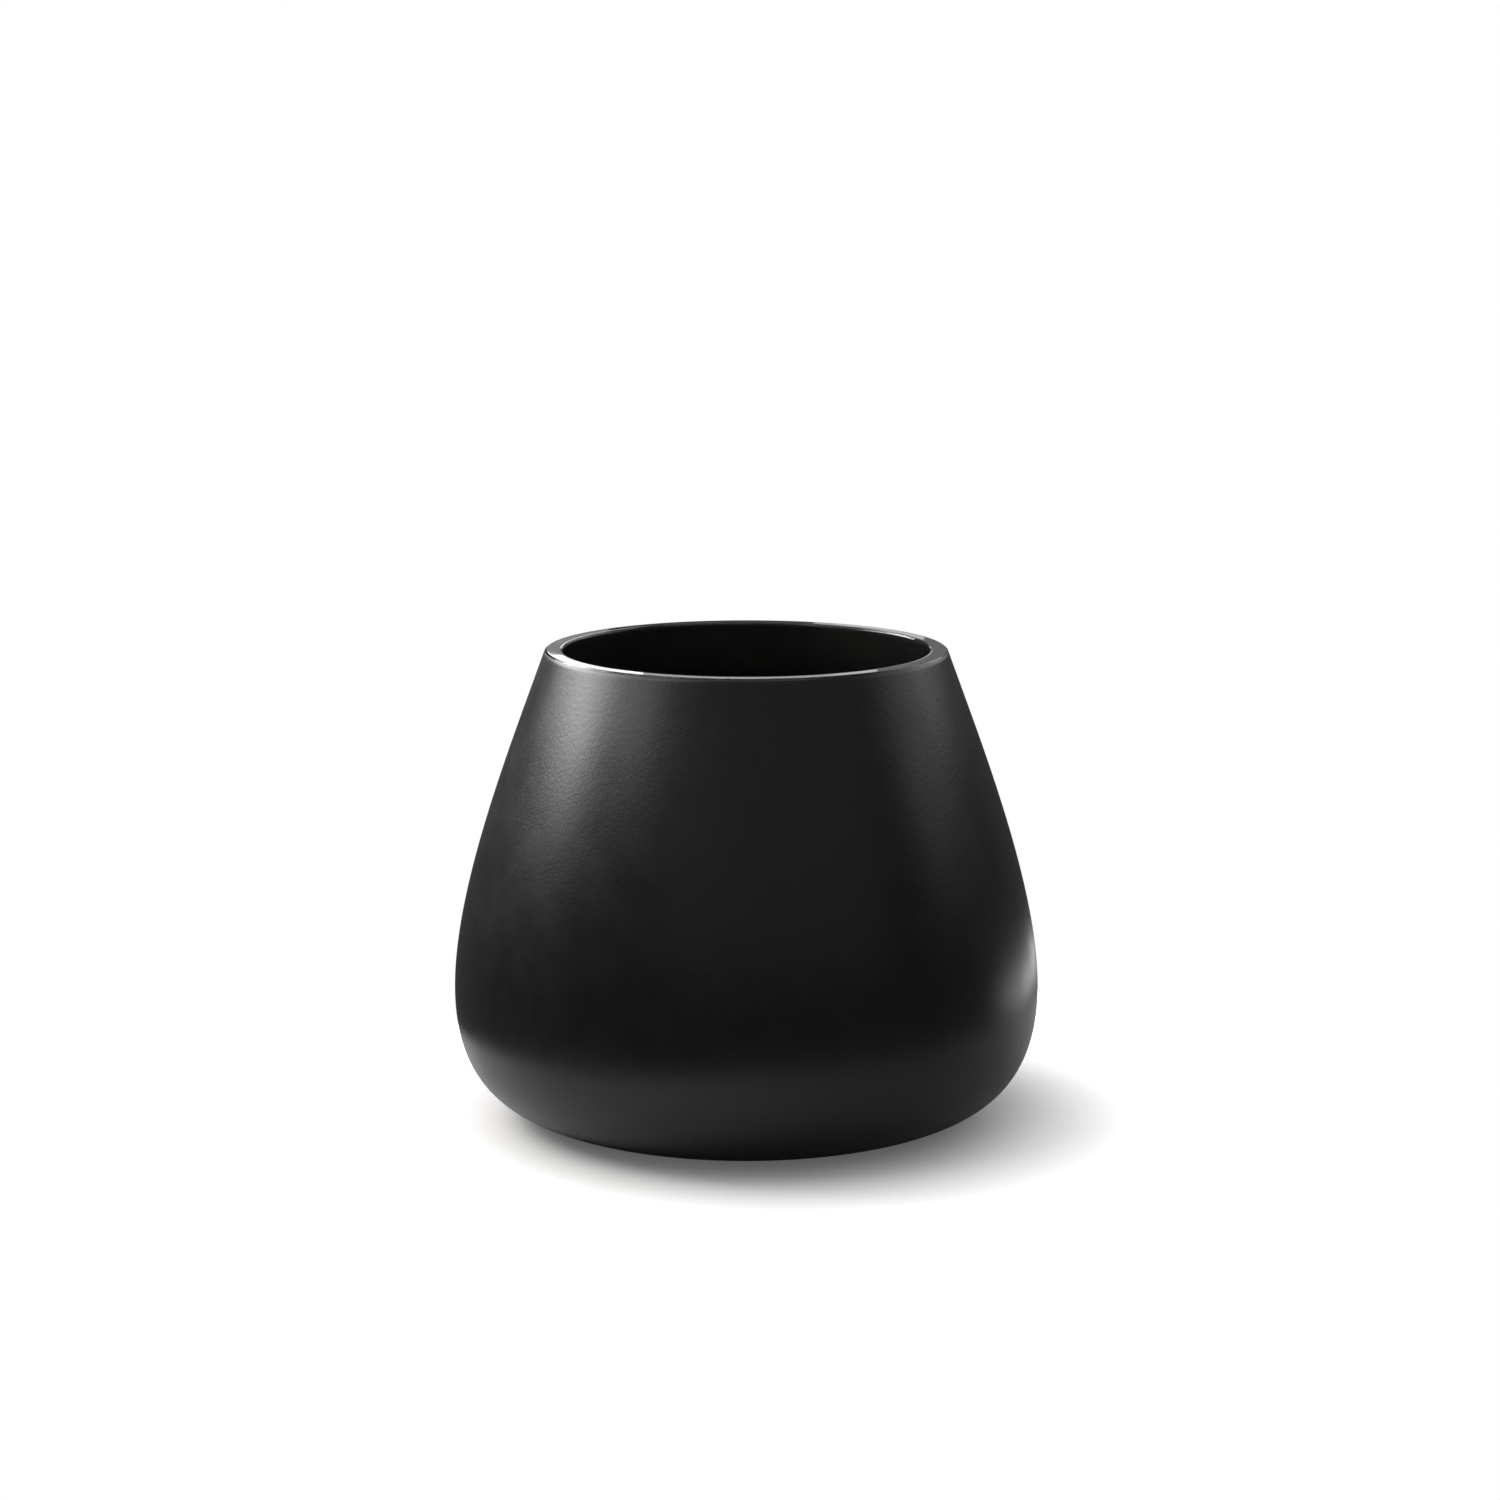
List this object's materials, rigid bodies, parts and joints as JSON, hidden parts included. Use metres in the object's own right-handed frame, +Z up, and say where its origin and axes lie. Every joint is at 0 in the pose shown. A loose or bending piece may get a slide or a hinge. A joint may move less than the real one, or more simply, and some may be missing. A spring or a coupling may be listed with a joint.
{
  "type": "empty candle jar",
  "caption": "Round tapered glass jar for a poured candle, open at its narrowed mouth, bare and glossy inside, lacquered matt black outside.",
  "frame": {"origin": "centre of the foot ring, on the plane that the jar stands on", "axes": "+Z up along the jar's axis, out of its mouth; X and Y are any two square directions, because the jar is round"},
  "size_m": [0.1, 0.1, 0.08],
  "materials": {
    "glass": "polished soda-lime glass that looks glossy black over the lacquer behind it",
    "lacquer": "sprayed matt black lacquer with a very fine grain and a soft sheen"
  },
  "bodies": {
    "root": {"glass_vessel": "glass", "wall_lacquer": "lacquer", "base_lacquer": "lacquer"}
  },
  "joints": []
}
